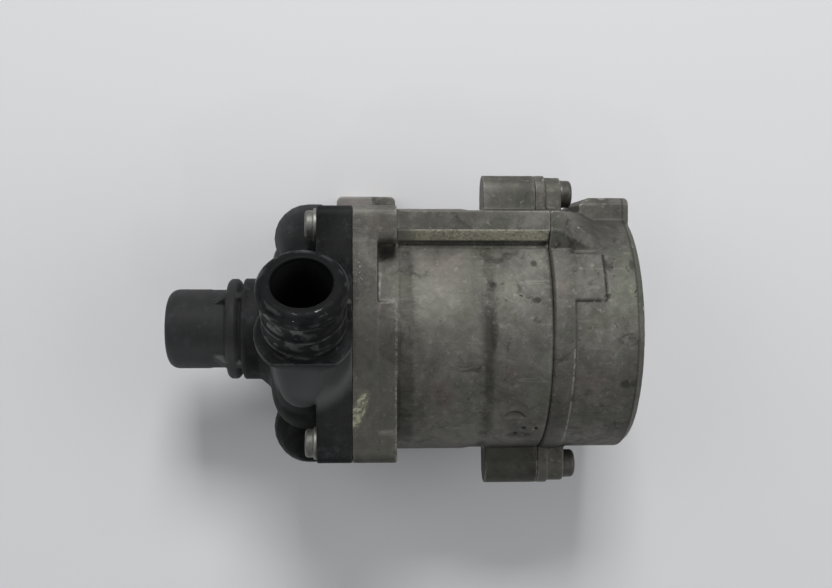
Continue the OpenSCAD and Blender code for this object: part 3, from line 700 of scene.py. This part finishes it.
def contactBrass():
    brass, tarnish = (0.62, 0.50, 0.24), (0.40, 0.28, 0.12)
    paint = Paint("contactBrass", metallic=1.0)
    rolled = paint.noise(700, 3, 0.6, stretch=(1, 0.1, 1))
    cloud = paint.noise(160, 3, 0.6)
    colour = paint.mix(cloud.step(0.45, 0.7) * 0.5, brass, tarnish)
    paint.set(colour=colour, roughness=0.24 + 0.15 * rolled, normal=paint.bump(rolled, 0.00003, 0.5))
    return paint.material


# Milled heat plate: fine arcs of the cutter
def milledAluminium():
    bright, dull = (0.56, 0.56, 0.55), (0.36, 0.36, 0.35)
    paint = Paint("milledAluminium", metallic=1.0)
    arcs = paint.add("ShaderNodeTexWave", {"wave_type": "RINGS", "rings_direction": "X"},
                     {"Vector": paint.place, "Scale": 900.0, "Distortion": 1.5, "Detail": 2.0}, 1)
    cloud = paint.noise(80, 4, 0.6)
    colour = paint.mix(cloud.step(0.45, 0.75) * 0.4, bright, dull)
    paint.set(colour=colour, roughness=0.30 + 0.12 * arcs, normal=paint.bump(arcs, 0.00003, 0.5))
    return paint.material


housingPaint = castAluminium("housingCasting", 1, housingMarks)
coverPaint = castAluminium("coverCasting", 6, coverMarks)
shellPaint = volutePlastic()
flangeScrewPaint = screwSteel("zincScrew", (0.225, 0.225, 0.208), (0.095, 0.093, 0.081))
coverScrewPaint = screwSteel("dullScrew", (0.105, 0.101, 0.090), (0.045, 0.043, 0.037), 0.6)
socketPaint = mouldedPlastic("socketPlastic", (0.012, 0.012, 0.013))
innerPaint = mouldedPlastic("innerPlastic", (0.030, 0.030, 0.033))
impellerPaint = mouldedPlastic("impellerPlastic", (0.020, 0.021, 0.024), 0.34)
chipPaint = mouldedPlastic("chipPlastic", (0.014, 0.014, 0.014), 0.5)
bobbinPaint = mouldedPlastic("bobbinPlastic", (0.56, 0.50, 0.36))
rubberPaint = sealRubber()
shaftPaint = turnedSteel("groundSteel", (0.56, 0.56, 0.57))
nodePaints = {
    "volute_seal": rubberPaint, "can_seal": rubberPaint, "cover_seal": rubberPaint,
    "impeller": impellerPaint, "impeller_cover": impellerPaint,
    "impeller_nut": screwSteel("nutSteel", (0.50, 0.50, 0.48), (0.24, 0.23, 0.20)),
    "shaft": shaftPaint, "front_thrust_washer": shaftPaint, "rear_thrust_washer": shaftPaint,
    "rotor_sleeve": turnedSteel("sleeveSteel", (0.60, 0.60, 0.60), 0.22, 0.15),
    "rotor_end_plates": turnedSteel("endPlateSteel", (0.50, 0.50, 0.50), 0.34),
    "bearing_carrier": innerPaint, "containment_can": innerPaint,
    "front_bearing": lappedCarbon(), "rear_bearing": lappedCarbon(),
    "rotor_magnets": magnetNickel(), "stator_bobbins": bobbinPaint,
    "circuit_board": boardLaminate(), "power_transistors": chipPaint, "motor_controller_chip": chipPaint,
    "capacitors": capacitorSleeve(), "filter_choke": chokeWinding(), "connector_pins": contactBrass(),
    "heat_plate": milledAluminium(),
    "board_screws": screwSteel("boardScrewSteel", (0.46, 0.46, 0.44), (0.22, 0.21, 0.18)),
}
laminated = laminatedSteel()
copper = enamelledCopper()
for name in ("stator_core", "rotor_core"):
    nodePaints[name] = laminated
for name in ("stator_windings", "phase_leads"):
    nodePaints[name] = copper
print("finishes made")


# Solid rod along X or Z, as a tool for cutting
def cutterRod(centre, radius, length, axis="Z", turn=0.0, sides=64):
    deselectAll()
    tilts = {"X": (0, math.pi / 2, 0), "Z": (0, 0, 0)}
    bpy.ops.mesh.primitive_cylinder_add(vertices=sides, radius=radius, depth=length, location=centre,
                                        rotation=tilts[axis])
    tool = bpy.context.object
    tool.rotation_euler.rotate_axis("Z", turn)
    applyPlace()
    return tool


def cutterBox(centre, size, turn=(0, 0, 0)):
    deselectAll()
    bpy.ops.mesh.primitive_cube_add(size=1, location=centre, rotation=turn)
    tool = bpy.context.object
    tool.scale = size
    applyPlace()
    return tool


# Ramp up to the body behind the flange, as [x, radius] points, groove at the foot of the wire duct,
# the ejector pin's flat, and small knocks in the top as centre and radius
housingCuts = {
    "ramp": [(0.0836, 0.0440), (0.0836, 0.0473), (0.0926, 0.0487), (0.0940, 0.0487), (0.0940, 0.0440),
             (0.0836, 0.0440)],
    "groove": {"centre": (0.1195, 0.03330, 0.03520), "size": (0.0560, 0.0020, 0.0032), "lean": 0.90},
    "pinFlat": {"centre": (0.1354, -0.0341, 0.0358), "radius": 0.0048, "toolLength": 0.02},
    "knocks": [((0.1396, -0.0366, 0.0311), 0.0011), ((0.1368, -0.0392, 0.0283), 0.0010),
               ((0.1443, -0.0369, 0.0307), 0.0010), ((0.1330, 0.0331, 0.0356), 0.0012),
               ((0.1262, 0.0183, 0.0452), 0.0012), ((0.1428, 0.0123, 0.0471), 0.0009)],
}


def detailHousing(piece):
    cutWith(piece, turnShape("ramp", housingCuts["ramp"], 96), "UNION")
    groove = housingCuts["groove"]
    cutWith(piece, cutterBox(groove["centre"], groove["size"], (groove["lean"], 0, 0)))
    flat = housingCuts["pinFlat"]
    x, y, z = flat["centre"]
    cutWith(piece, cutterRod((x, y, z + flat["toolLength"] / 2), flat["radius"], flat["toolLength"]))
    for centre, radius in housingCuts["knocks"]:
        deselectAll()
        bpy.ops.mesh.primitive_ico_sphere_add(subdivisions=2, radius=radius, location=centre)
        applyPlace()
        cutWith(piece, bpy.context.object)


# Cast skin: a slow swell and a fine orange-peel, both real displacement
skinSizes = {"swell": 0.016, "peel": 0.0022}


def roughen(piece, look):
    for name, size in skinSizes.items():
        texture = bpy.data.textures.new(piece.name + name, "CLOUDS")
        texture.noise_scale = size
        texture.noise_depth = 2
        applyModifier(piece, "DISPLACE", texture=texture, strength=look[name] * mm, mid_level=0.5,
                      texture_coords="LOCAL")


# Castings and the volute shell; swell and peel are in millimetres
castings = {
    "volute_housing": {"piece": "volute_shell", "smoothing": 6, "swell": 0.10, "peel": 0.03,
                       "slot": "black_plastic", "paint": shellPaint},
    "motor_housing": {"piece": "housing_casting", "smoothing": 4, "swell": 0.16, "peel": 0.12,
                      "slot": "cast_aluminium", "paint": housingPaint, "detail": detailHousing},
    "rear_cover": {"piece": "cover_casting", "smoothing": 2, "swell": 0.12, "peel": 0.10,
                   "slot": "cover_aluminium", "paint": coverPaint},
}
voxel = 0.42 * mm * 1
mostFaces = 190000

for node, look in castings.items():
    piece = copyNode(node, look["piece"])
    if "detail" in look:
        look["detail"](piece)
    applyModifier(piece, "REMESH", mode="VOXEL", voxel_size=voxel)
    applyModifier(piece, "SMOOTH", factor=0.5, iterations=look["smoothing"])
    roughen(piece, look)
    triangles = sum(len(face.vertices) - 2 for face in piece.data.polygons)
    if triangles > mostFaces:
        applyModifier(piece, "DECIMATE", ratio=mostFaces / triangles)
    activate(piece)
    bpy.ops.object.shade_smooth()
    finishPiece(piece, "housing", look["paint"], node)
    print(piece.name, "made:", triangles, "triangles before thinning")


# Half of a screw's outline: rounded head, washer, shank with a chamfered tip
def roundedHead(look):
    steps = 6
    fillet, washer, chamfer = 0.0014, 0.0011, 0.0006
    faceX, into, washerX, tipX = look["faceX"], look["into"], look["washerX"], look["tipX"]
    headRadius, rounding, shankRadius = look["headRadius"], look["rounding"], look["shankRadius"]
    points = [(faceX, 0.0)]
    for i in range(steps + 1):
        angle = math.pi / 2 * i / steps
        points.append((faceX + into * rounding * (1 - math.cos(angle)),
                       headRadius - rounding + rounding * math.sin(angle)))
    points += [(washerX - into * fillet, headRadius), (washerX - into * washer, look["washerRadius"]),
               (washerX, look["washerRadius"]), (washerX, shankRadius), (tipX - into * chamfer, shankRadius),
               (tipX, shankRadius - chamfer), (tipX, 0.0)]
    return points


# Screws that share one CAD node: each is turned and given its hexagon recess, then all are joined
def screwSet(name, look, places, paint, node):
    screws = []
    depth, proud = look["recessDepth"], 0.002
    middle = (look["faceX"] + look["into"] * (depth - proud) / 2, 0, 0)
    for index, (place, turn) in enumerate(places):
        screw = turnShape(name + str(index), roundedHead(look))
        cutWith(screw, cutterRod(middle, look["recess"], depth + proud, "X", turn, 6))
        softenEdges(screw, look["edge"], 38)
        screw.location = place
        activate(screw)
        applyPlace()
        screws.append(screw)
    deselectAll()
    for screw in screws:
        screw.select_set(True)
    bpy.context.view_layer.objects.active = screws[0]
    bpy.ops.object.join()
    piece = screws[0]
    piece.name = name
    activate(piece)
    bpy.ops.object.shade_smooth_by_angle(angle=math.radians(35))
    finishPiece(piece, "housing", paint, node)
    print(name, "made:", len(places), "screws")


# Flanged screws of the volute and side screws of the cover; faceX is the top of the head
flangeScrew = {
    "faceX": 0.0567, "into": 1, "headRadius": 0.0053, "rounding": 0.0012,
    "washerX": 0.0611, "washerRadius": 0.0061, "shankRadius": 0.0029, "tipX": 0.0879,
    "recess": 0.0027, "recessDepth": 0.0026, "edge": 0.00018, "slot": "zinc_steel",
    "reach": 0.0405,
}
coverScrew = {
    "faceX": 0.16402, "into": -1, "headRadius": 0.0056, "rounding": 0.0016,
    "washerX": 0.15912, "washerRadius": 0.00568, "shankRadius": 0.0029, "tipX": 0.1311,
    "recess": 0.0030, "recessDepth": 0.0026, "edge": 0.00018, "slot": "dull_steel",
    "reach": 0.0553, "lean": math.radians(4),
}
corners = []
for sy in (-1, 1):
    for sz in (-1, 1):
        corners.append(((0, sy * flangeScrew["reach"], sz * flangeScrew["reach"]), 0.35 * (sy + 2 * sz)))
sides = []
for way in (0, math.pi):
    angle = way - coverScrew["lean"]
    place = (0, coverScrew["reach"] * math.cos(angle), coverScrew["reach"] * math.sin(angle))
    sides.append((place, 0.5 + way))
screwSet("flange_screws", flangeScrew, corners, flangeScrewPaint, "volute_screws")
screwSet("side_screws", coverScrew, sides, coverScrewPaint, "cover_screws")

# Connector insert: softened edges and two keying ribs
socketLook = {"edge": 0.00035, "ribSize": (0.0008, 0.0060, 0.0016), "ribX": 0.16915, "ribY": 0.0470,
              "ribZ": (-0.0070, 0.0070)}
socket = copyNode("connector_socket", "connector_insert")
for ribZ in socketLook["ribZ"]:
    rib = cutterBox((socketLook["ribX"], socketLook["ribY"], ribZ), socketLook["ribSize"])
    cutWith(socket, rib, "UNION")
softenEdges(socket, socketLook["edge"], 50)
activate(socket)
bpy.ops.object.shade_smooth_by_angle(angle=math.radians(35))
finishPiece(socket, "housing", socketPaint, "connector_socket")
print("connector insert made")

# Finishes of the nodes that keep their own mesh
for name, paint in nodePaints.items():
    nodes[name].data.materials.clear()
    nodes[name].data.materials.append(paint)
print("inner pieces painted:", len(nodePaints))

# Floor, light and camera
stage = {
    "floor": (0.80, 0.80, 0.81),
    "floorSize": 6.0,
    "floorGap": 0.0002,
    "middle": (0.1, 0),
    "cameraAt": (0.0772, 0.0230, 0.4477),
    "lookAt": (0.0999, 0.0140, 0.0),
    "lens": 47.42,
    "sensor": 36,
    "nearest": 0.01,
    "world": (0.93, 0.96, 1.0),
    "worldStrength": 0.2,
    "lights": [((0.10, 1.05, 1.05), 0.45, 13), ((1.5, 0.1, 1.1), 1.2, 7), ((-1.2, 0.5, 1.2), 1.2, 4.5),
               ((-0.35, -0.75, 1.35), 0.05, 0.5), ((0.55, -0.70, 1.35), 0.05, 0.5)],  # place, size, power
}


def makeStage():
    floorPlace = (*stage["middle"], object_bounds()[0][2] - stage["floorGap"])
    deselectAll()
    bpy.ops.mesh.primitive_plane_add(size=stage["floorSize"], location=floorPlace)
    floor = bpy.context.object
    floor.name = "floor"
    paint = Paint("paleTable")
    cloud = paint.noise(3.0, 3, 0.5)
    paint.set(colour=paint.mix(cloud, stage["floor"], toned(stage["floor"], 0.97)),
              roughness=0.6 + 0.1 * cloud)
    floor.data.materials.append(paint.material)

    bpy.ops.object.camera_add(location=stage["cameraAt"])
    camera = bpy.context.object
    sight = (Vector(stage["lookAt"]) - Vector(stage["cameraAt"])).normalized()
    right = sight.cross(Vector((0, 1, 0))).normalized()
    camera.rotation_euler = Matrix((right, right.cross(sight), -sight)).transposed().to_euler()
    camera.data.lens = stage["lens"]
    camera.data.sensor_width = stage["sensor"]
    camera.data.clip_start = stage["nearest"]
    bpy.context.scene.camera = camera
    bpy.context.scene.view_settings.view_transform = "Standard"

    target = Vector((*stage["middle"], 0))
    for place, size, power in stage["lights"]:
        bpy.ops.object.light_add(type="AREA", location=place)
        light = bpy.context.object
        light.data.size = size
        light.data.energy = power
        light.rotation_euler = (target - Vector(place)).to_track_quat("-Z", "Y").to_euler()
    world = bpy.data.worlds.new("paleRoom")
    world.use_nodes = True
    background = world.node_tree.nodes["Background"]
    background.inputs["Color"].default_value = (*stage["world"], 1)
    background.inputs["Strength"].default_value = stage["worldStrength"]
    bpy.context.scene.world = world


makeStage()
print("stage made")
